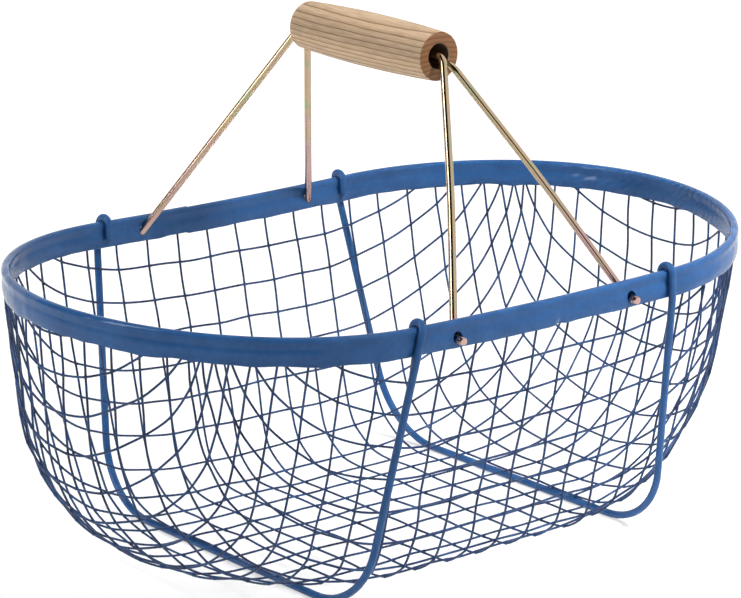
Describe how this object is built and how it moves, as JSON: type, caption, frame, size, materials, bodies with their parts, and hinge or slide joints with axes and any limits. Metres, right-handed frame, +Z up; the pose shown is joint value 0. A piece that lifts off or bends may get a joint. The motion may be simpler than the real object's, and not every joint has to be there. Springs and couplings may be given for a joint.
{
  "type": "harvest basket",
  "caption": "Blue coated wire mesh harvest basket with a folded steel rim, support wires and a turned wood grip on zinc wire bails.",
  "frame": {"origin": "on the ground at the centre of the basket's footprint, nearly below the grip", "axes": "+X along the basket's long side, +Y across it along the grip, +Z up from the ground"},
  "size_m": [0.44, 0.295, 0.2932],
  "materials": {
    "blue_coat": "satin dip coat",
    "yellow_zinc": "yellow-passivated zinc plate",
    "ash_wood": "sanded, bare"
  },
  "bodies": {
    "basket": {"rim_band": "blue_coat", "rim_wire": "blue_coat", "mesh_bowl": "blue_coat", "stay_left": "blue_coat", "stay_right": "blue_coat", "bail_left": "yellow_zinc", "bail_right": "yellow_zinc"},
    "grip": {"grip": "ash_wood"}
  },
  "joints": [
    {"name": "grip_spin", "type": "hinge", "parent": "basket", "child": "grip", "pos_m": [-0.0018, 0.0029, 0.2782], "axis": [0, 1, 0], "continuous": true}
  ]
}
